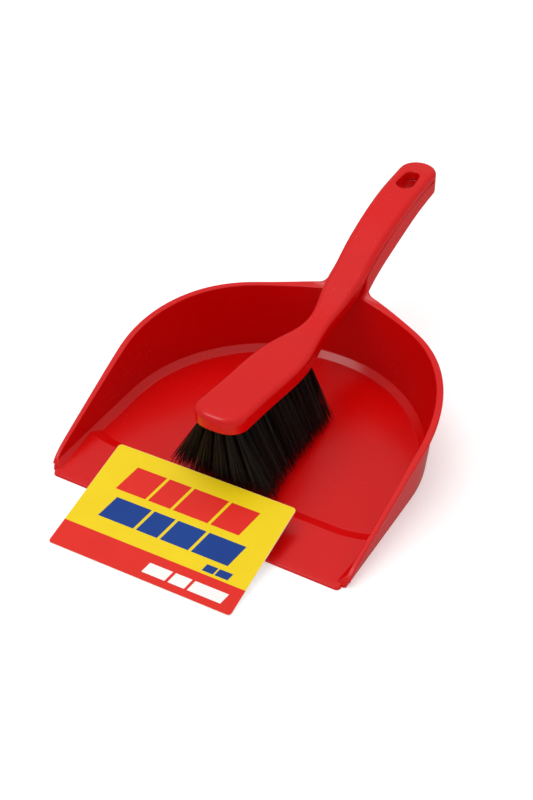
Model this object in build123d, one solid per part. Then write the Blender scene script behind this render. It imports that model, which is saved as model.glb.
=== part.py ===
from build123d import *
import math
import os

# Dustpan with its hand brush and label card. Millimetres, +Z up.
# The origin is on the floor plane, at the centre of the pan's round back wall.
# +Y runs from the scraping lip to the end of the handle, +X is to the right.

# ---- dustpan bowl ----
LIP_Y = -100.0             # scraping edge
LIP_HALF_WIDTH = 110.0
LIP_EDGE = 1.7             # thickness at the scraping edge
LIP_ROUND = 1.1
LIP_CORNER = 3.0
NOSE_Y = -95.6             # front ends of the side walls
BOWL_RADIUS = 110.5        # inside of the wall, at the floor plane
DRAFT = 5.0                # degrees that the wall leans outwards
WALL = 2.0
FLOOR_TOP = 2.6
COVE = 4.6                 # bevel between floor and wall
COVE_ROUND = 1.3           # rounding along both of its edges
FLANGE_REACH = 4.8         # rim flange, from the inside of the wall outwards
FLANGE_DEPTH = 3.0
FLANGE_PINCH = 1.6         # how much narrower it is at its front ends
RIM_ROUND = 0.8            # rounding of the rim's edges
LAYER_SETBACK = 0.25       # share of the flange depth by which its underside is set back
RIM_BACK = 57.3            # height of the rim along the back
RIM_SIDE = [(NOSE_Y, 0.0), (-94.0, 4.4), (-89.0, 9.0), (-77.0, 14.8), (-35.0, 31.2), (3.0, 45.0), (47.0, 54.6)]
RIM_CLIMB = [(75.0, 57.4), (97.0, RIM_BACK), (109.0, 57.4), (116.0, 60.4)]
TALL = 130.0               # higher and wider than anything here

# ---- ramp behind the lip ----
RIDGE_Y = -60.3            # top edge of the ramp, on the centre line
RIDGE_Z = 5.6
RIDGE_RUN = 9.8            # the ridge falls back to the floor over this length
RIDGE_STRAIGHT = 84.0      # half length of the straight part of the ridge
RIDGE_SWEEP = 58.0         # radius of its ends, which bend towards the back
RAMP_REACH = 120.0         # half width that covers the whole bowl
RAMP_SINK = 0.4            # how far the back of the ridge runs down into the floor
RAMP_SKIN = 1.9
POCKET_START = -89.0
POCKET_END = RIDGE_Y - 1.0
RAMP_POCKETS = 5
RAMP_RIB = 2.0

# ---- handles: the brush lies on the pan; its sides curve, and those of the pan handle are straight ----
GRIP_HALF = 14.5
GRIP_END = 249.0
GRIP_FLANK = [(13.2, 135.0), (13.9, 165.0), (GRIP_HALF, 200.0)]
GRIP_TOP = [
    (125.0, 78.8),
    (135.0, 84.4),
    (145.0, 88.9),
    (165.0, 95.4),
    (185.0, 100.1),
    (205.0, 103.3),
    (225.0, 104.8),
    (253.0, 104.3),
]
GRIP_TIP_SLOPE = -0.05     # of the brush at the last of these points
BRUSH_GRIP = 7.0           # thickness of the brush handle
NEST_GAP = 0.5
PAN_GRIP_SIDE = 15.6       # depth of the pan handle's side walls
PAN_GRIP_TIP = 8.8         # and at its end
PAN_GRIP_TAPER = 175.0     # where they start to get shallower
PAN_GRIP_HEEL = [(95.0, 42.0), (110.0, 48.5)]
PAN_GRIP_FOOT = (12.9, 90.0)   # half width and place of its start, inside the bowl
GUSSET_RADIUS = 10.0       # between the rim flange and the handle
SLOT_Y = 218.5
SLOT_OUTER = 5.8           # radius of the hanging slot's outer end
SLOT_INNER = 6.8           # and of its inner end
SLOT_LENGTH = 11.0         # between the two centres
SPINE_HALF = 4.5           # ridge on the pan handle that locates the brush
SPINE_HEIGHT = 3.2
SPINE_START = 136.0
SPINE_END = 196.0
GRIP_RIBS = (140.0, 158.0, 176.0, 194.0)
RIB = 1.6

# ---- brush head ----
HEAD_FRONT = -69.0
HEAD_TOP_FRONT = 73.9      # the head slopes down from its front end
HEAD_SLOPE = -0.107
HEAD_BACK = 40.0
BLOCK = 12.3               # thickness of the head
BLOCK_BACK = 46.0          # where its flat underside ends
HEAD_HALF = 18.8
HEAD_CORNER = 13.6
HEAD_BOW_HALF = 7.0        # the front end bows forwards a little between its corners
HEAD_BOW = 0.5
HEAD_FLANK = [(HEAD_HALF, -20.0), (17.4, 32.0), (9.6, 70.0)]
NECK_FLANK = [(9.0, 80.0), (12.0, 103.0)]
NECK_TOP = [(60.0, 60.1), (79.0, 61.2), (95.0, 66.0), (109.0, 72.6)]
NECK_UNDER = [(79.0, 50.6), (98.0, 56.6), (110.0, 60.6), (117.0, 64.7)]
OVERRUN = 5.0              # how far the side-view curves run past the front end
TOP_ROUND = 4.4
BOTTOM_ROUND = 1.2
SLOT_ROUND = 1.5           # rounded mouth of the hanging slot

# ---- tufts and their anchors ----
ROWS = 5
ROW_PITCH = 6.3
TUFT_PITCH = 6.1
TUFT_FIRST = -61.0
OUTER_SETBACK = 2.5        # how much further back the outer rows start
ROW_TAPER = 0.0022         # share by which the rows close up per mm behind the origin
TUFTS_INNER = 18
TUFTS_OUTER = 17
HOLE_RADIUS = 1.7
HOLE_DEPTH = 9.0
TUFT_CLEARANCE = 0.1
TRIM_BACK = (43.0, 3.3)    # a point on the level to which the tufts are trimmed
TRIM_SLOPE = -0.07
TUFT_REACH = 62.0          # free length of a tuft before it is trimmed
TIP_SPREAD = 3.0           # degrees that a tuft opens by
OUTER_LEAN = 15.0          # degrees that the outer rows lean out, at the back of the head
FRONT_LEAN = 8.0           # and how much more at its front
FRONT_REAR_LEAN = 1.5      # degrees that the front tufts lean back
BACK_REAR_LEAN = 5.0       # and the back ones
LEAN_FADE = 30.0           # length over which these leans die away
ANCHOR_WIDTH = 4.0         # wider than the hole, so that its ends bite
ANCHOR_HEIGHT = 1.6
ANCHOR_THICKNESS = 0.45

# ---- label card ----
CARD_WIDTH = 135.7
CARD_HEIGHT = 88.6
CARD_THICKNESS = 0.7
CARD_CORNER = 2.5
CARD_FOOT = (-5.3, -153.1, 0.15)
CARD_TURN = 1.2            # degrees about the vertical
CARD_LEAN = 12.2           # degrees up from the floor


def bowl_outline(radius, front, pinch):
    """A closed U in plan: straight sides and a round back, its mouth narrower by the pinch at each side."""
    mouth = radius - pinch
    sides = Polyline((-radius, 0), (-mouth, front), (mouth, front), (radius, 0))
    back = ThreePointArc((radius, 0), (0, radius), (-radius, 0))
    return make_face(sides + back)


def bowl_solid(radius, front, base, pinch=0.0):
    """The U outline drawn upwards, leaning out by the draft angle."""
    lean = math.tan(math.radians(DRAFT))
    low = bowl_outline(radius + base * lean, front, pinch)
    high = bowl_outline(radius + TALL * lean, front, pinch)
    return loft([Pos(0, 0, base) * low, Pos(0, 0, TALL) * high], ruled=True)


def side_solid(top, bottom, half_width):
    """What lies between two side-view curves, drawn out to both sides."""
    ends = [Line(top @ 0, bottom @ 0), Line(top @ 1, bottom @ 1)]
    side = make_face([*top.edges(), *bottom.edges(), *ends])
    return extrude(Plane.YZ.offset(-half_width) * side, 2 * half_width)


def above(curve):
    """Everything above a side-view curve."""
    return side_solid(Pos(0, TALL) * curve, curve, TALL)


def below(curve):
    """Everything below a side-view curve."""
    return side_solid(curve, Pos(0, -TALL) * curve, TALL)


def layer_solid(curve, rise, drop, half_width):
    """The layer along a side-view curve, from rise above it to drop below it.

    Its underside is set back a little, so that it keeps a thickness where the curve is steep.
    """
    return side_solid(Pos(0, rise) * curve, Pos(LAYER_SETBACK * drop, -drop) * curve, half_width)


def grip_line(drop):
    return [(y, z - drop) for y, z in GRIP_TOP]


def rim_curve():
    """Top of the pan in side view: side wall, back rim and handle."""
    climb = grip_line(BRUSH_GRIP + NEST_GAP)
    return Curve() + [Spline(*RIM_SIDE, *RIM_CLIMB, *climb)]


def brush_curve(drop, head_back, neck, grip):
    """Side-view curve of the brush: straight along the head, then over the neck and up the handle."""
    start_z = HEAD_TOP_FRONT - drop
    start = (HEAD_FRONT - OVERRUN, start_z - HEAD_SLOPE * OVERRUN)
    turn = (head_back, start_z + HEAD_SLOPE * (head_back - HEAD_FRONT))
    slopes = [(1, HEAD_SLOPE), (1, GRIP_TIP_SLOPE)]
    return Curve() + [Line(start, turn), Spline(turn, *neck, *grip, tangents=slopes)]


def brush_top_curve():
    return brush_curve(0, HEAD_BACK, NECK_TOP, GRIP_TOP)


def brush_bottom_curve():
    return brush_curve(BLOCK, BLOCK_BACK, NECK_UNDER, grip_line(BRUSH_GRIP))


def grip_outline():
    """Pan's handle in plan, from inside the bowl to its round end."""
    centre = GRIP_END - GRIP_HALF
    foot = PAN_GRIP_FOOT
    sides = Polyline((GRIP_HALF, centre), foot, (-foot[0], foot[1]), (-GRIP_HALF, centre))
    return make_face([sides, ThreePointArc((GRIP_HALF, centre), (0, GRIP_END), (-GRIP_HALF, centre))])


def slot_outline(grow):
    """Hanging slot in plan: two round ends joined by tangents, a little wider inwards."""
    wide = SLOT_OUTER + grow
    narrow = SLOT_INNER + grow
    high = SLOT_Y + SLOT_LENGTH / 2
    low = SLOT_Y - SLOT_LENGTH / 2
    rise = (wide - narrow) / SLOT_LENGTH
    spread = math.sqrt(1 - rise ** 2)
    upper = (wide * spread, high - wide * rise)
    lower = (narrow * spread, low - narrow * rise)
    right = Line(lower, upper)
    left = Line((-upper[0], upper[1]), (-lower[0], lower[1]))
    outer = ThreePointArc(upper, (0, high + wide), (-upper[0], upper[1]))
    inner = ThreePointArc((-lower[0], lower[1]), (0, low - narrow), lower)
    return make_face([right, outer, left, inner])


def through(face):
    return extrude(face, TALL)


def brush_outline():
    """Brush in plan: blunt head, narrow neck, handle with a round end."""
    centre = GRIP_END - GRIP_HALF
    corner_y = HEAD_FRONT + HEAD_CORNER
    points = [(HEAD_HALF, corner_y), *HEAD_FLANK, *NECK_FLANK, *GRIP_FLANK]
    flank = Spline(*points, tangents=[(0, 1), (0, 1)])
    straight = Line((GRIP_HALF, GRIP_FLANK[-1][1]), (GRIP_HALF, centre))
    end = ThreePointArc((GRIP_HALF, centre), (0, GRIP_END), (-GRIP_HALF, centre))
    turn = (HEAD_BOW_HALF, HEAD_FRONT + HEAD_BOW)
    bow = ThreePointArc((-turn[0], turn[1]), (0, HEAD_FRONT), turn)
    corner = TangentArc(turn, (HEAD_HALF, corner_y), tangent=bow % 1)
    right = [flank, straight, corner]
    left = [edge.mirror(Plane.YZ) for edge in right]
    return make_face([*right, *left, end, bow])


def ramp_z(y):
    """Height of the ramp's surface."""
    return FLOOR_TOP + (RIDGE_Z - FLOOR_TOP) * (y - NOSE_Y) / (RIDGE_Y - NOSE_Y)


def pan_ramp():
    """Wedge that rises from the lip to the ridge, whose ends bend towards the back."""
    half = RAMP_REACH
    foot_y = RIDGE_Y + RIDGE_RUN
    back_y = foot_y + RIDGE_SWEEP - math.sqrt(RIDGE_SWEEP ** 2 - (half - RIDGE_STRAIGHT) ** 2)
    bend = TangentArc((RIDGE_STRAIGHT, foot_y), (half, back_y), tangent=(1, 0))
    crease = Line((-RIDGE_STRAIGHT, foot_y), (RIDGE_STRAIGHT, foot_y))
    front = Polyline((half, back_y), (half, NOSE_Y), (-half, NOSE_Y), (-half, back_y))
    plan = make_face([bend, bend.mirror(Plane.YZ), crease, *front.edges()])
    side = Polyline((NOSE_Y, 0), (NOSE_Y, FLOOR_TOP), (back_y, ramp_z(back_y)), (back_y, 0), close=True)
    wedge = extrude(Plane.YZ * make_face(side), TALL, both=True)
    ramp = extrude(plan, TALL) & wedge
    top = ramp.faces().filter_by(lambda face: face.normal_at().Z > 0.9)[0]
    crest = top.edges().filter_by(lambda edge: edge.center().Y > RIDGE_Y and abs(edge.center().X) < half - 1)
    return chamfer(crest, RIDGE_RUN * 0.99, ramp_z(foot_y) - FLOOR_TOP + RAMP_SINK, reference=top)


def ramp_pockets():
    """Hollows under the ramp, with ribs between them."""
    roof = [(y, ramp_z(y) - RAMP_SKIN) for y in (POCKET_START, POCKET_END)]
    side = make_face(Polyline((roof[0][0], -1), *roof, (roof[1][0], -1), close=True))
    span = 2 * (BOWL_RADIUS - COVE - RAMP_SKIN)
    width = (span - (RAMP_POCKETS - 1) * RAMP_RIB) / RAMP_POCKETS
    pocket = extrude(Plane.YZ * side, width / 2, both=True)
    step = width + RAMP_RIB
    middle = (RAMP_POCKETS - 1) / 2
    return [Pos((i - middle) * step, 0, 0) * pocket for i in range(RAMP_POCKETS)]


def lip():
    """Thin blade ahead of the side walls, with a rounded scraping edge."""
    back_y = RIDGE_Y - 10
    top = [(LIP_Y, LIP_EDGE), (NOSE_Y, FLOOR_TOP), (back_y, FLOOR_TOP)]
    side = make_face(Polyline((LIP_Y, 0), *top, (back_y, 0), close=True))
    plate = extrude(Plane.YZ.offset(-LIP_HALF_WIDTH) * side, 2 * LIP_HALF_WIDTH)
    corners = plate.edges().filter_by(Axis.Z).group_by(Axis.Y)[0]
    plate = fillet(corners, LIP_CORNER)
    front = plate.faces().filter_by(lambda face: face.center().Y < LIP_Y + LIP_CORNER)
    front = front.filter_by(lambda face: abs(face.normal_at().Z) < 0.1)
    rims = [edge for face in front for edge in face.edges().group_by(Axis.Z)[-1]]
    return fillet(rims, LIP_ROUND)


def pan_grip_bottom():
    """Lower edge of the pan handle in side view, shallower towards the tip."""
    points = []
    for y, z in grip_line(BRUSH_GRIP + NEST_GAP):
        tip = max(0.0, (y - PAN_GRIP_TAPER) / (GRIP_END - PAN_GRIP_TAPER))
        points.append((y, z - PAN_GRIP_SIDE + (PAN_GRIP_SIDE - PAN_GRIP_TIP) * tip))
    return Curve() + [Spline(*PAN_GRIP_HEEL, *points)]


def pan_grip():
    """Handle before its top is cut: side walls, cross ribs and a slot collar."""
    outline = through(grip_outline())
    hollow = through(offset(grip_outline(), -WALL))
    ribs = [Pos(0, y, TALL / 2) * Box(2 * GRIP_HALF, RIB, TALL) for y in GRIP_RIBS]
    collar = through(slot_outline(WALL))
    return ((outline - hollow) + (outline & ribs) + collar) - below(pan_grip_bottom())


def pan_rim():
    """Rim flange and handle plate before their top is cut, with the gussets between them."""
    rim = bowl_solid(BOWL_RADIUS + FLANGE_REACH, NOSE_Y, 0, FLANGE_PINCH) + through(grip_outline())
    creases = rim.edges().filter_by(lambda edge: edge.length > TALL / 2)
    creases = creases.filter_by(lambda edge: abs(edge.center().X) < GRIP_HALF + 1 and edge.center().Y < 150)
    rim = fillet(creases, GUSSET_RADIUS)
    return rim - below(Pos(LAYER_SETBACK * FLANGE_DEPTH, -FLANGE_DEPTH) * rim_curve())


def bowl_hollow():
    """Inside of the bowl, with the soft bevel between its floor and its wall."""
    hollow = bowl_solid(BOWL_RADIUS, NOSE_Y - 20, FLOOR_TOP)
    floor_edges = hollow.edges().group_by(Axis.Z)[0]
    hollow = chamfer(floor_edges.filter_by(lambda edge: edge.center().Y > NOSE_Y - 10), COVE)
    low = hollow.edges().filter_by(lambda edge: edge.center().Z < FLOOR_TOP + COVE + 1)
    level = low.filter_by(lambda edge: edge.bounding_box().size.Z < 0.1)
    return fillet(level.filter_by(lambda edge: edge.center().Y > NOSE_Y - 10), COVE_ROUND)


def locating_spine():
    """Ridge along the top of the pan handle, which sits in the brush."""
    length = SPINE_END - SPINE_START
    block = Pos(0, (SPINE_START + SPINE_END) / 2, TALL / 2) * Box(2 * SPINE_HALF, length, TALL)
    block = fillet(block.edges().filter_by(Axis.Z), SPINE_HALF * 0.8)
    return block & layer_solid(rim_curve(), SPINE_HEIGHT, 1, GRIP_HALF)


def dustpan():
    """One moulding: bowl, ramp, lip, rim flange and handle."""
    shell = bowl_solid(BOWL_RADIUS + WALL, NOSE_Y, 0) + pan_rim() + pan_grip()
    shell = shell - through(slot_outline(0)) - bowl_hollow()
    shell = shell - above(rim_curve())
    top = shell.faces().filter_by(GeomType.EXTRUSION).filter_by(lambda face: face.normal_at().Z > 0.5)
    shell = fillet(top.sort_by(SortBy.AREA)[-1].edges(), RIM_ROUND)
    ramp = pan_ramp() & bowl_solid(BOWL_RADIUS + WALL / 2, NOSE_Y, 0)
    pan = shell + ramp + lip() + locating_spine()
    for pocket in ramp_pockets():
        pan = pan - pocket
    return pan


def outline_edges(body, up):
    """Edges round the top (up = 1) or the underside (up = -1) of a plate."""
    faces = body.faces().filter_by(lambda face: face.normal_at().Z * up > 0.7)
    used = [edge for face in faces for edge in face.edges()]
    return [edge for edge in used if used.count(edge) == 1]


def brush_blank():
    """Brush before it is drilled: rounded on top, softened underneath."""
    body = through(brush_outline()) & side_solid(brush_top_curve(), brush_bottom_curve(), TALL)
    body = fillet(outline_edges(body, 1), TOP_ROUND)
    body = fillet(outline_edges(body, -1), BOTTOM_ROUND)
    groove_length = SPINE_END - SPINE_START + 14
    groove = Pos(0, (SPINE_START + SPINE_END) / 2, TALL / 2) * Box(2 * SPINE_HALF + 1, groove_length, TALL)
    body = body - (groove - above(Pos(0, SPINE_HEIGHT + 0.6) * rim_curve()))
    body = body - through(slot_outline(0))
    reach = SLOT_INNER + 1
    mouth = [edge for edge in outline_edges(body, 1) if abs(edge.center().X) < reach]
    mouth = [edge for edge in mouth if abs(edge.center().Y - SLOT_Y) < reach + SLOT_LENGTH / 2]
    return fillet(mouth, SLOT_ROUND)


def row_share(row):
    """Where a row lies across the head, from -1 to 1."""
    return 2 * row / (ROWS - 1) - 1


def block_underside(y):
    return HEAD_TOP_FRONT - BLOCK + HEAD_SLOPE * (y - HEAD_FRONT)


def tufts_in_row(row):
    return TUFTS_OUTER if row in (0, ROWS - 1) else TUFTS_INNER


def tuft_place(row, index):
    """Frame at the hole's mouth, with Z along the bristles, downwards."""
    share = row_share(row)
    y = TUFT_FIRST + OUTER_SETBACK * share ** 2 + TUFT_PITCH * index
    x = share * ROW_PITCH * (ROWS - 1) / 2 * (1 - ROW_TAPER * max(0.0, y))
    front = math.exp((TUFT_FIRST - y) / LEAN_FADE)
    back = math.exp((y - TRIM_BACK[0]) / LEAN_FADE)
    side = math.radians(OUTER_LEAN + FRONT_LEAN * front) * share
    rear = math.radians(FRONT_REAR_LEAN * front + BACK_REAR_LEAN * back)
    down = Vector(math.tan(side), math.tan(rear), -1)
    return Plane(origin=(x, y, block_underside(y)), x_dir=(0, 1, 0), z_dir=down)


def hole(place):
    depth = HOLE_DEPTH + 2
    return place.location * Pos(0, 0, (2 - HOLE_DEPTH) / 2) * Cylinder(HOLE_RADIUS, depth)


def anchor(place):
    """Flat staple that holds the folded tuft at the bottom of its hole."""
    height = ANCHOR_HEIGHT / 2 + 1.2 - HOLE_DEPTH
    return place.location * Pos(0, 0, height) * Box(ANCHOR_WIDTH, ANCHOR_THICKNESS, ANCHOR_HEIGHT)


def tuft(place):
    """One bundle of bristles, folded round its anchor and opening to its tips."""
    radius = HOLE_RADIUS - TUFT_CLEARANCE
    reach = TUFT_REACH
    tip = radius + reach * math.tan(math.radians(TIP_SPREAD))
    root = Pos(0, 0, -(HOLE_DEPTH - TUFT_CLEARANCE) / 2) * Cylinder(radius, HOLE_DEPTH - TUFT_CLEARANCE)
    spray = Pos(0, 0, reach / 2) * Cone(radius, tip, reach)
    return place.location * (root + spray)


def trim_block():
    """Everything above the level to which the tufts are trimmed."""
    tilt = math.degrees(math.atan(TRIM_SLOPE))
    return Pos(0, *TRIM_BACK) * Rot(tilt, 0, 0) * Pos(0, 0, TALL) * Box(4 * TALL, 4 * TALL, 2 * TALL)


def build_tufts():
    kept = trim_block()
    rows = []
    for row in range(ROWS):
        places = [tuft_place(row, index) for index in range(tufts_in_row(row))]
        anchors = [anchor(place) for place in places]
        bundles = [(tuft(place) & kept) - pin for place, pin in zip(places, anchors)]
        rows.append((places, bundles, anchors))
    return rows


def brush_stock(rows):
    """One moulding: head, neck and handle, drilled for the tufts."""
    body = brush_blank()
    drilled = [hole(place) for places, _, _ in rows for place in places]
    pins = [pin for _, _, anchors in rows for pin in anchors]
    return body - drilled - pins


def label_card():
    """Printed card, its foot on the floor and its head over the ramp."""
    card = Pos(0, CARD_HEIGHT / 2, CARD_THICKNESS / 2) * Box(CARD_WIDTH, CARD_HEIGHT, CARD_THICKNESS)
    card = fillet(card.edges().filter_by(Axis.Z), CARD_CORNER)
    return Pos(*CARD_FOOT) * Rot(0, 0, CARD_TURN) * Rot(CARD_LEAN, 0, 0) * card


def write(name, shape):
    export_step(shape, f"parts/{name}.step")


def build():
    os.makedirs("parts", exist_ok=True)
    rows = build_tufts()
    write("dustpan", dustpan())
    write("brush_stock", brush_stock(rows))
    for number, (_, bundles, anchors) in enumerate(rows, start=1):
        write(f"bristle_row_{number}", Compound(children=bundles))
        write(f"anchor_row_{number}", Compound(children=anchors))
    write("label_card", label_card())


build()
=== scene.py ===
"""Looks for a dustpan with its nested hand brush and its printed card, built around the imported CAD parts.

Everything is in metres in the CAD frame: the origin is on the floor at the centre of the pan's round back,
+Y points to the end of the handles, +X to the right and +Z up.
"""

import math
import random

import bmesh
import bpy
import numpy as np
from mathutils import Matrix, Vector


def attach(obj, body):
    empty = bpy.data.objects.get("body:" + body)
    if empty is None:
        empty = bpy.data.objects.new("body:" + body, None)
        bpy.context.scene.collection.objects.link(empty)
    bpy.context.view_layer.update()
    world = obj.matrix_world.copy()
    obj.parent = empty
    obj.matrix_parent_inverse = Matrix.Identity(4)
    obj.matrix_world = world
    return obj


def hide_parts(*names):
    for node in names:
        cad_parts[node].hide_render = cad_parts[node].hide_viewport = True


MM = 0.001

# Camera, as an orbit about a point on the floor
AIM = Vector((-0.02436, 0.04396, 0.0))
CAMERA_AZIMUTH = math.radians(29.88)
CAMERA_ELEVATION = math.radians(38.40)
CAMERA_DISTANCE = 1.02048
LENS_MM = 63.0
SENSOR_MM = 36.0

# Bristles
HOLE_DEPTH = 8.9 * MM
SPREAD_ACROSS = math.radians(7.5)
SPREAD_ALONG = math.radians(3.0)
FILAMENTS_PER_TUFT = 64
FILAMENT_RADIUS = 0.21 * MM
FILAMENT_SIDES = 4
FILAMENT_RINGS = 7
STRAY_SHARE = 0.03
LIGHT_SHARE = 0.035
STRAY_FROM = 0.75
CURL_LOW = 0.4 * MM
CURL_HIGH = 1.5 * MM
BOW = 0.35 * MM
SPREAD_JITTER = 0.06
ANGLE_JITTER = 0.10
LENGTH_JITTER = 0.008
TIP_TAPER = 0.72
GOLDEN_ANGLE = math.pi * (3.0 - math.sqrt(5.0))

# Slices of a CAD tuft that are averaged to find its axis: half heights, and how far the last is from its end
ROOT_SLICE = 0.3 * MM
MOUTH_SLICE = 0.7 * MM
FAR_SLICE = 2.9 * MM
FAR_FROM_END = 10 * MM

# Printed card
BAND_SHARE = 0.225
PRINT_LIFT = 0.05 * MM
PRINT_MARGIN = 0.1 * MM
CARD_CORNER = 2.5 * MM
CARD_BOW = 0.35 * MM
BAR_SLANT = 0.22
LONGEST_EDGE = 6 * MM

# Light: each pair of world levels is for the horizon and for overhead, and each lamp has a place, a size in
# metres and a power in watts
WORLD_LEVELS = (0.5, 0.95)
MIRRORED_LEVELS = (0.22, 0.45)
KEY = ((-0.45, 0.15, 1.6), 1.4, 10.0)
SHEEN = ((-0.45, -0.55, 1.0), 0.5, 2.5)
FLOOR_REACH = 4.0


def srgb(red, green, blue):
    """Linear colour of an 8-bit screen colour."""
    channels = [c / 255 for c in (red, green, blue)]
    linear = [c / 12.92 if c <= 0.04045 else ((c + 0.055) / 1.055) ** 2.4 for c in channels]
    return (*linear, 1.0)


class Finish:
    """A material under construction: its node tree, its surface shader and small helpers that add nodes."""

    def __init__(self, name):
        self.material = bpy.data.materials.new(name)
        self.material.use_nodes = True
        self.tree = self.material.node_tree
        self.shader = self.tree.nodes["Principled BSDF"]
        self.place = self.tree.nodes.new("ShaderNodeTexCoord").outputs["Object"]

    def node(self, kind, inputs, **settings):
        node = self.tree.nodes.new("ShaderNode" + kind)
        for key, value in settings.items():
            setattr(node, key, value)
        for key, value in inputs.items():
            self.feed(node.inputs[key], value)
        return node

    def feed(self, socket, value):
        if isinstance(value, bpy.types.NodeSocket):
            self.tree.links.new(value, socket)
        else:
            socket.default_value = value

    def surface(self, **inputs):
        """Sets inputs of the surface shader, with _ standing for a space in their names."""
        for key, value in inputs.items():
            self.feed(self.shader.inputs[key.replace("_", " ")], value)

    def noise(self, scale, detail=2.0, stretch=None, turn=0.0):
        place = self.place
        if stretch is not None:
            mapping = {"Vector": place, "Scale": stretch, "Rotation": (0.0, 0.0, math.radians(turn))}
            place = self.node("Mapping", mapping).outputs["Vector"]
        inputs = {"Vector": place, "Scale": scale, "Detail": detail}
        return self.node("TexNoise", inputs).outputs["Fac"]

    def span(self, value, low, high, out_low, out_high):
        """value carried from low..high to out_low..out_high, clamped."""
        inputs = {0: value, 1: low, 2: high, 3: out_low, 4: out_high}
        return self.node("MapRange", inputs).outputs["Result"]

    def math(self, operation, first, second):
        return self.node("Math", {0: first, 1: second}, operation=operation).outputs[0]

    def mix(self, share, first, second):
        inputs = {"Factor": share, 6: first, 7: second}
        return self.node("Mix", inputs, data_type="RGBA").outputs[2]

    def bump(self, height, depth, strength=1.0, below=None):
        inputs = {"Height": height, "Distance": depth, "Strength": strength}
        if below is not None:
            inputs["Normal"] = below
        return self.node("Bump", inputs).outputs["Normal"]


def red_plastic():
    """Glossy injection-moulded polypropylene: faint flow clouds, orange peel and fine handling scratches."""
    paint = Finish("red_plastic_moulded")
    clouds = paint.span(paint.noise(9.0, 3.0), 0.35, 0.65, 0.0, 0.7)
    flow = paint.span(paint.noise(60.0, 2.0, stretch=(1.0, 0.35, 1.0)), 0.3, 0.7, 0.0, 0.3)
    body = paint.mix(paint.math("ADD", clouds, flow), srgb(210, 0, 0), srgb(217, 0, 1))
    scratches = None
    for scale, stretch, turn in (
        (900.0, (1.0, 0.02, 1.0), 12.0),
        (1100.0, (0.02, 1.0, 1.0), 31.0),
        (1000.0, (1.0, 0.03, 1.0), -48.0),
    ):
        line = paint.span(paint.noise(scale, 0.0, stretch, turn), 0.74, 0.82, 0.0, 1.0)
        scratches = line if scratches is None else paint.math("MAXIMUM", scratches, line)
    rough = paint.span(paint.noise(22.0, 4.0), 0.3, 0.7, 0.22, 0.27)
    rough = paint.math("ADD", rough, paint.math("MULTIPLY", scratches, 0.02))
    peel = paint.bump(paint.noise(1400.0, 1.0), 0.002 * MM)
    paint.surface(Base_Color=body, Roughness=rough, IOR=1.49, Normal=peel)
    return paint.material


def bristle_black():
    """Black polypropylene filament: each strand has its own depth of black and a soft sheen along it."""
    paint = Finish("black_bristle_strands")
    tone = paint.node("Attribute", {}, attribute_name="tone").outputs["Fac"]
    body = paint.mix(tone, srgb(3, 3, 3), srgb(66, 63, 58))
    fleck = paint.noise(900.0, 1.0)
    rough = paint.span(fleck, 0.3, 0.7, 0.30, 0.44)
    paint.surface(Base_Color=body, Roughness=rough, IOR=1.49, Specular_IOR_Level=0.2)
    return paint.material


def galvanised_steel():
    """Zinc-plated staple wire: a mottled grey metal with fine drawn lines."""
    paint = Finish("galvanised_steel")
    mottle = paint.noise(1500.0, 3.0)
    lines = paint.noise(2500.0, 1.0, stretch=(0.05, 1.0, 1.0))
    body = paint.mix(mottle, srgb(150, 152, 154), srgb(205, 206, 208))
    rough = paint.span(mottle, 0.3, 0.7, 0.28, 0.45)
    paint.surface(Base_Color=body, Metallic=1.0, Roughness=rough)
    paint.surface(Normal=paint.bump(lines, 0.01 * MM, 0.5))
    return paint.material


def ink(name, dark, light, gloss):
    """Offset ink on coated board: slight density drift, paper grain and a soft varnish."""
    paint = Finish(name)
    drift = paint.span(paint.noise(30.0, 3.0), 0.35, 0.65, 0.0, 1.0)
    speckle = paint.span(paint.noise(2600.0, 2.0), 0.35, 0.65, 0.0, 0.5)
    share = paint.math("ADD", paint.math("MULTIPLY", drift, 0.5), speckle)
    body = paint.mix(share, dark, light)
    grain = paint.noise(1100.0, 3.0)
    rough = paint.span(grain, 0.3, 0.7, gloss - 0.05, gloss + 0.07)
    paint.surface(Base_Color=body, Roughness=rough, IOR=1.47, Specular_IOR_Level=0.3)
    paint.surface(Normal=paint.bump(grain, 0.01 * MM, 0.6))
    return paint.material


def pale_floor():
    """White studio sweep."""
    paint = Finish("studio_floor")
    shade = paint.span(paint.noise(3.0, 2.0), 0.3, 0.7, 0.0, 1.0)
    body = paint.mix(shade, (0.79, 0.79, 0.79, 1.0), (0.81, 0.81, 0.81, 1.0))
    paint.surface(Base_Color=body, Roughness=0.9, Specular_IOR_Level=0.1)
    paint.surface(Emission_Color=(1.0, 1.0, 1.0, 1.0), Emission_Strength=0.32)
    return paint.material


def mesh_object(name, vertices, faces, materials):
    mesh = bpy.data.meshes.new(name)
    mesh.from_pydata(vertices, [], faces)
    for material in materials:
        mesh.materials.append(material)
    thing = bpy.data.objects.new(name, mesh)
    bpy.context.scene.collection.objects.link(thing)
    return thing


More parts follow.
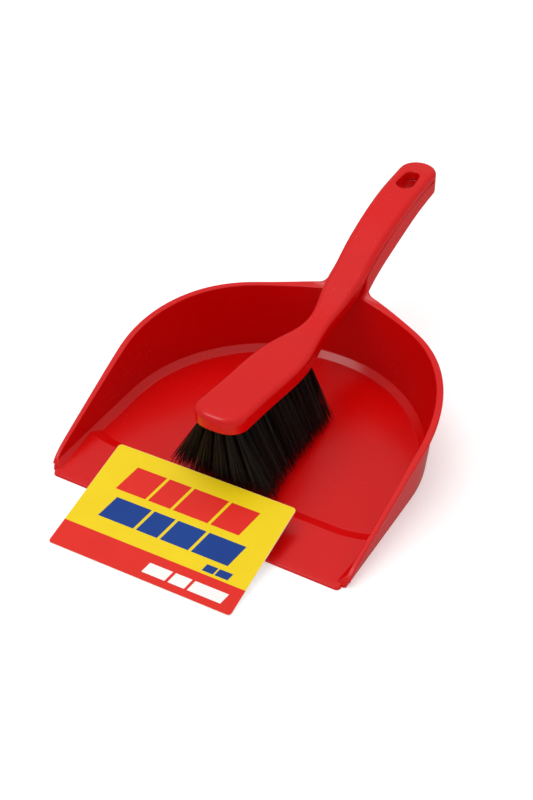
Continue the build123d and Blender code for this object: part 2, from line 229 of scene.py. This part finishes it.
def loose_parts(node):
    """The faces of each separate solid of a CAD node: per solid, (centre, normal, area) of every face."""
    shape = bmesh.new()
    shape.from_mesh(node.data)
    bmesh.ops.remove_doubles(shape, verts=shape.verts, dist=1e-6)
    waiting = set(shape.verts)
    parts = []
    for seed in list(shape.verts):
        if seed not in waiting:
            continue
        waiting.discard(seed)
        reached = [seed]
        for vertex in reached:
            for edge in vertex.link_edges:
                other = edge.other_vert(vertex)
                if other in waiting:
                    waiting.discard(other)
                    reached.append(other)
        faces = {face for vertex in reached for face in vertex.link_faces}
        ordered = sorted(faces, key=lambda face: face.index)
        points = np.array([vertex.co for vertex in reached], float)
        centres = np.array([face.calc_center_median() for face in ordered], float)
        normals = np.array([face.normal for face in ordered], float)
        areas = np.array([face.calc_area() for face in ordered], float)
        parts.append((points, centres, normals, areas))
    shape.free()
    return parts


class Tuft:
    """One bundle of filaments: its axis, hole mouth, trimmed tip and radii, read from its CAD solid."""

    def __init__(self, points, centres, normals, areas):
        along = np.linalg.svd(points - points.mean(0), full_matrices=False)[2][0]
        along = along if along[2] < 0 else -along
        reach = points @ along
        self.root = self.slice_centre(points, reach, reach.min(), reach.min() + ROOT_SLICE)
        mouth_reach = reach.min() + HOLE_DEPTH
        self.mouth = self.slice_centre(points, reach, mouth_reach - MOUTH_SLICE, mouth_reach + MOUTH_SLICE)
        far = reach.max() - FAR_FROM_END
        far_centre = self.slice_centre(points, reach, far - FAR_SLICE, far + FAR_SLICE)
        self.along = (far_centre - self.mouth) / np.linalg.norm(far_centre - self.mouth)
        caps = normals @ self.along > 0.8
        weights = areas[caps][:, None]
        self.cut = (normals[caps] * weights).sum(0) / weights.sum()
        cut_point = (centres[caps] * weights).sum(0) / weights.sum()
        run = np.dot(self.cut, cut_point - self.mouth) / np.dot(self.cut, self.along)
        self.tip = self.mouth + self.along * run
        self.across = np.cross(self.along, (0.0, 1.0, 0.0))
        self.across /= np.linalg.norm(self.across)
        self.other = np.cross(self.along, self.across)
        self.root_radius = self.slice_radius(points, self.root, self.mouth)
        self.opening = (run * math.tan(SPREAD_ACROSS), run * math.tan(SPREAD_ALONG))

    @staticmethod
    def slice_centre(points, reach, low, high):
        chosen = points[(reach >= low) & (reach <= high)]
        return (chosen.min(0) + chosen.max(0)) / 2

    def slice_radius(self, points, low, high):
        offsets = points - low
        height = offsets @ self.along
        inside = (height > 0) & (height < np.dot(high - low, self.along) * 0.9)
        flat = offsets[inside] - np.outer(height[inside], self.along)
        return float(np.linalg.norm(flat, axis=1).max())

    def point(self, centre, share, angle, opened=0.0):
        """A point at this share of the tuft's radius, which grows as the tuft opens: more across its row."""
        snug = self.root_radius - FILAMENT_RADIUS
        wide, deep = (snug + opened * opening for opening in self.opening)
        offset = wide * math.cos(angle) * self.across + deep * math.sin(angle) * self.other
        return centre + share * offset


def filament_line(tuft, share, angle, chance):
    """The bent centre line of one filament: straight in its hole, then fanning out to the trimmed tip."""
    root = tuft.point(tuft.root, share, angle)
    mouth = tuft.point(tuft.mouth, share, angle)
    spread = min(1.0, max(0.0, share + chance.gauss(0.0, SPREAD_JITTER)))
    heading = tuft.point(tuft.tip, spread, angle + chance.gauss(0.0, ANGLE_JITTER), 1.0) - mouth
    reach = np.dot(tuft.cut, tuft.tip - mouth) / np.dot(tuft.cut, heading)
    tip = mouth + heading * reach * (1.0 - abs(chance.gauss(0.0, LENGTH_JITTER)))
    bow = chance.gauss(0.0, BOW)
    side = chance.uniform(0.0, 2.0 * math.pi)
    sway = math.cos(side) * tuft.across + math.sin(side) * tuft.other
    steps = np.linspace(0.0, 1.0, FILAMENT_RINGS - 1)[:, None]
    free = mouth + (tip - mouth) * steps + sway * bow * np.sin(np.pi * steps) * steps
    return np.vstack([root, free])


def stray_line(tuft, angle, chance):
    """A filament that has sprung out of its tuft: it curls away towards its tip."""
    line = filament_line(tuft, 0.9, angle, chance)
    steps = np.clip(np.linspace(-1.0 / (FILAMENT_RINGS - 2), 1.0, FILAMENT_RINGS), 0.0, 1.0)[:, None]
    outward = math.cos(angle) * tuft.across + math.sin(angle) * tuft.other
    return line + outward * chance.uniform(CURL_LOW, CURL_HIGH) * steps**2


def sweep(line, radius, turn):
    """Vertices of a thin prism along a line, slightly tapered at its last ring."""
    heading = line[-1] - line[0]
    heading = heading / np.linalg.norm(heading)
    across = np.cross(heading, (0.0, 1.0, 0.0))
    across /= np.linalg.norm(across)
    other = np.cross(heading, across)
    rings = []
    for index, centre in enumerate(line):
        size = radius * (TIP_TAPER if index == len(line) - 1 else 1.0)
        for side in range(FILAMENT_SIDES):
            angle = turn + 2 * math.pi * side / FILAMENT_SIDES
            rings.append(centre + size * (math.cos(angle) * across + math.sin(angle) * other))
    return rings


def prism_faces(first):
    """Faces of one swept prism whose vertices start at index first: its sides and its two ends."""
    sides = FILAMENT_SIDES
    faces = []
    for ring in range(FILAMENT_RINGS - 1):
        low = first + ring * sides
        for side in range(sides):
            near = (side + 1) % sides
            faces.append((low + side, low + near, low + sides + near, low + sides + side))
    last = first + (FILAMENT_RINGS - 1) * sides
    faces.append(tuple(range(first + sides - 1, first - 1, -1)))
    faces.append(tuple(range(last, last + sides)))
    return faces


def bristle_row(node_name, seed, material):
    """Real filaments in place of one CAD row of solid tufts."""
    chance = random.Random(seed)
    vertices = []
    faces = []
    tones = []
    for part in loose_parts(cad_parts[node_name]):
        tuft = Tuft(*part)
        depth = chance.uniform(0.0, 0.2)
        for number in range(FILAMENTS_PER_TUFT):
            share = math.sqrt((number + 0.5) / FILAMENTS_PER_TUFT)
            angle = number * GOLDEN_ANGLE + chance.gauss(0.0, ANGLE_JITTER)
            stray = share > STRAY_FROM and chance.random() < STRAY_SHARE
            line = stray_line(tuft, angle, chance) if stray else filament_line(tuft, share, angle, chance)
            faces.extend(prism_faces(len(vertices)))
            vertices.extend(sweep(line, FILAMENT_RADIUS * chance.uniform(0.85, 1.1), angle))
            light = chance.random() < LIGHT_SHARE
            tone = 1.0 if light else min(1.0, depth + 0.5 * chance.random() ** 3)
            tones.extend([tone] * (len(vertices) - len(tones)))
    row = mesh_object(node_name + "_strands", vertices, faces, [material])
    row.data.polygons.foreach_set("use_smooth", [True] * len(row.data.polygons))
    attribute = row.data.attributes.new("tone", "FLOAT", "POINT")
    attribute.data.foreach_set("value", tones)
    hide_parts(node_name)
    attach(row, "brush")
    return row


class CardFace:
    """The card's own frame, read from its CAD solid: u to its right edge, v up it and w out of its face."""

    def __init__(self, node):
        points = np.array([vertex.co for vertex in node.data.vertices], float)
        axes = np.linalg.svd(points - points.mean(0), full_matrices=False)[2]
        self.u = axes[0] if axes[0][0] > 0 else -axes[0]
        self.v = axes[1] if axes[1][1] > 0 else -axes[1]
        self.w = np.cross(self.u, self.v)
        local = points @ np.array((self.u, self.v, self.w)).T
        low, high = local.min(0), local.max(0)
        self.origin = ((low + high) / 2) @ np.array((self.u, self.v, self.w))
        self.half_width, self.half_height, self.half_thickness = (high - low) / 2

    def bow(self, u, v):
        """Slight curl of the board away from flat, nothing at its foot."""
        rise = (v / self.half_height + 1.0) / 2.0
        return CARD_BOW * rise * (u / self.half_width) ** 2

    def place(self, u, v, w):
        return self.origin + self.u * u + self.v * v + self.w * (w - self.bow(u, v))


def rounded_outline(left, right, low, high, radii, steps=6):
    """Corner-rounded rectangle, anticlockwise from the lower left; radii in the same order."""
    corners = ((left, low, 180), (right, low, 270), (right, high, 0), (left, high, 90))
    outline = []
    for (x, y, start), radius in zip(corners, radii):
        if radius <= 0:
            outline.append((x, y))
            continue
        cx = x + radius if x == left else x - radius
        cy = y + radius if y == low else y - radius
        for step in range(steps + 1):
            angle = math.radians(start + 90 * step / steps)
            outline.append((cx + radius * math.cos(angle), cy + radius * math.sin(angle)))
    return outline


def finely(outline):
    """The outline with its long edges divided, so that it can follow the bow of the board."""
    dense = []
    for (ax, ay), (bx, by) in zip(outline, outline[1:] + outline[:1]):
        parts = max(1, math.ceil(math.hypot(bx - ax, by - ay) / LONGEST_EDGE))
        dense.extend((ax + (bx - ax) * k / parts, ay + (by - ay) * k / parts) for k in range(parts))
    return dense


def add_slab(shape, face, outline, low, high, slot_index):
    """A closed thin slab of this outline on the card, from height low to high above its middle plane."""
    outline = finely(outline)
    base = [shape.verts.new(face.place(u, v, low)) for u, v in outline]
    top = [shape.verts.new(face.place(u, v, high)) for u, v in outline]
    ends = [shape.faces.new(top), shape.faces.new(base[::-1])]
    walls = []
    for index in range(len(outline)):
        near = (index + 1) % len(outline)
        walls.append(shape.faces.new((base[index], base[near], top[near], top[index])))
    for polygon in ends + walls:
        polygon.material_index = slot_index
    bmesh.ops.triangulate(shape, faces=ends)


def slanted_bar(left, low, width, height):
    """A parallelogram bar that leans to the right."""
    right = left + width
    high = low + height
    lean = height * BAR_SLANT
    return [(left, low), (right, low), (right + lean, high), (left + lean, high)]


def bar_row(left, low, widths, gap, height):
    """A row of slanted bars."""
    bars = []
    for width in widths:
        bars.append(slanted_bar(left, low, width, height))
        left += width + gap
    return bars


def print_rows():
    """The bars printed on the card, row by row: material index and outlines, in the card's own frame."""
    return (
        (2, bar_row(-50 * MM, 10.5 * MM, [23 * MM, 17 * MM, 26 * MM, 21 * MM], 2.2 * MM, 21 * MM)),
        (3, bar_row(-49 * MM, -12.9 * MM, [27 * MM, 16 * MM, 21 * MM, 27 * MM], 2.2 * MM, 17.6 * MM)),
        (3, bar_row(35 * MM, -22.3 * MM, [8 * MM, 9.5 * MM], 1.2 * MM, 5.4 * MM)),
        (4, bar_row(0.5 * MM, -39 * MM, [17 * MM, 12 * MM, 24 * MM], 2.2 * MM, 8 * MM)),
    )


def printed_card():
    """A coated board with a yellow field, a red foot band and rows of plain slanted bars as its print."""
    face = CardFace(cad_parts["label_card"])
    board = ink("card_board", srgb(236, 232, 222), srgb(247, 244, 238), 0.6)
    yellow = ink("card_yellow_ink", srgb(240, 206, 0), srgb(246, 215, 4), 0.42)
    red = ink("card_red_ink", srgb(222, 32, 18), srgb(230, 38, 24), 0.42)
    navy = ink("card_navy_ink", srgb(2, 54, 134), srgb(6, 64, 148), 0.42)
    white = ink("card_white_ink", srgb(246, 244, 240), srgb(252, 251, 248), 0.5)
    wide, tall, thick = face.half_width, face.half_height, face.half_thickness
    shape = bmesh.new()
    edge = rounded_outline(-wide, wide, -tall, tall, (CARD_CORNER,) * 4)
    add_slab(shape, face, edge, -thick, thick - 2 * PRINT_LIFT, 0)
    inner = CARD_CORNER - PRINT_MARGIN
    left, right = -wide + PRINT_MARGIN, wide - PRINT_MARGIN
    foot, head = -tall + PRINT_MARGIN, tall - PRINT_MARGIN
    split = -tall + 2 * tall * BAND_SHARE
    surface = thick - PRINT_LIFT
    field = rounded_outline(left, right, split, head, (0, 0, inner, inner))
    band = rounded_outline(left, right, foot, split, (inner, inner, 0, 0))
    add_slab(shape, face, field, thick - 2 * PRINT_LIFT, surface, 1)
    add_slab(shape, face, band, thick - 2 * PRINT_LIFT, surface, 2)
    for slot_index, bars in print_rows():
        for bar in bars:
            add_slab(shape, face, bar, surface, thick, slot_index)
    mesh = bpy.data.meshes.new("printed_card")
    shape.to_mesh(mesh)
    shape.free()
    for material in (board, yellow, red, navy, white):
        mesh.materials.append(material)
    card = bpy.data.objects.new("printed_card", mesh)
    bpy.context.scene.collection.objects.link(card)
    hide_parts("label_card")
    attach(card, "card")
    return card


def studio_floor():
    """White ground plane, kept out of the gloss of the plastic."""
    reach = FLOOR_REACH
    corners = [(-reach, -reach, 0), (reach, -reach, 0), (reach, reach, 0), (-reach, reach, 0)]
    floor = mesh_object("studio_floor", corners, [(0, 1, 2, 3)], [pale_floor()])
    floor.visible_glossy = False


def area_light(name, place, size, power, mirrored):
    """A square soft light that faces the object: it only adds gloss if mirrored, and none if not."""
    light = bpy.data.lights.new(name, "AREA")
    light.shape = "SQUARE"
    light.size = size
    light.energy = power
    lamp = bpy.data.objects.new(name, light)
    lamp.location = place
    lamp.rotation_euler = (AIM - Vector(place)).to_track_quat("-Z", "Y").to_euler()
    lamp.visible_glossy = mirrored
    lamp.visible_diffuse = not mirrored
    bpy.context.scene.collection.objects.link(lamp)


def white_world():
    """White light from all round: brighter overhead, dimmer in the gloss and pure white to the camera."""
    world = bpy.data.worlds.new("studio_world")
    world.use_nodes = True
    bpy.context.scene.world = world
    tree = world.node_tree
    background = tree.nodes["Background"]
    background.inputs["Color"].default_value = (1.0, 1.0, 1.0, 1.0)
    heading = tree.nodes.new("ShaderNodeTexCoord").outputs["Generated"]
    split = tree.nodes.new("ShaderNodeSeparateXYZ")
    tree.links.new(heading, split.inputs[0])
    levels = []
    for low, high in (WORLD_LEVELS, MIRRORED_LEVELS):
        level = tree.nodes.new("ShaderNodeMapRange")
        tree.links.new(split.outputs["Z"], level.inputs[0])
        level.inputs[3].default_value = low
        level.inputs[4].default_value = high
        levels.append(level.outputs["Result"])
    rays = tree.nodes.new("ShaderNodeLightPath")
    choice = tree.nodes.new("ShaderNodeMix")
    tree.links.new(rays.outputs["Is Glossy Ray"], choice.inputs["Factor"])
    tree.links.new(levels[0], choice.inputs["A"])
    tree.links.new(levels[1], choice.inputs["B"])
    seen = tree.nodes.new("ShaderNodeMix")
    tree.links.new(rays.outputs["Is Camera Ray"], seen.inputs["Factor"])
    tree.links.new(choice.outputs["Result"], seen.inputs["A"])
    seen.inputs["B"].default_value = 1.0
    tree.links.new(seen.outputs["Result"], background.inputs["Strength"])


def photo_camera():
    camera = bpy.data.cameras.new("camera")
    camera.sensor_fit = "VERTICAL"
    camera.sensor_height = SENSOR_MM
    camera.lens = LENS_MM
    orbit = Vector(
        (
            math.sin(CAMERA_AZIMUTH) * math.cos(CAMERA_ELEVATION),
            -math.cos(CAMERA_AZIMUTH) * math.cos(CAMERA_ELEVATION),
            math.sin(CAMERA_ELEVATION),
        )
    )
    holder = bpy.data.objects.new("camera", camera)
    holder.location = AIM + CAMERA_DISTANCE * orbit
    holder.rotation_euler = (-orbit).to_track_quat("-Z", "Y").to_euler()
    bpy.context.scene.collection.objects.link(holder)
    bpy.context.scene.camera = holder


def dress(node_name, material):
    """Gives a CAD node that stays its procedural material."""
    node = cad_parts[node_name]
    for holder in node.material_slots:
        holder.material = material


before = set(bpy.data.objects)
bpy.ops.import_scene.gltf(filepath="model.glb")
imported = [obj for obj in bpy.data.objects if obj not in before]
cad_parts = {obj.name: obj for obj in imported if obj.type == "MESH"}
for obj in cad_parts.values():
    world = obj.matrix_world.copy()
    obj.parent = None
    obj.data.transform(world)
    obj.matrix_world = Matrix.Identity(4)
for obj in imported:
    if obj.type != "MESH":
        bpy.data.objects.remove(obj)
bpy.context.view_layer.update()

plastic = red_plastic()
dress("dustpan", plastic)
dress("brush_stock", plastic)
steel = galvanised_steel()
black = bristle_black()
for row_number in range(1, 6):
    dress(f"anchor_row_{row_number}", steel)
    bristle_row(f"bristle_row_{row_number}", 100 + row_number, black)
printed_card()

studio_floor()
white_world()
area_light("key", *KEY, mirrored=False)
area_light("sheen", *SHEEN, mirrored=True)
photo_camera()
bpy.context.scene.view_settings.view_transform = "Standard"
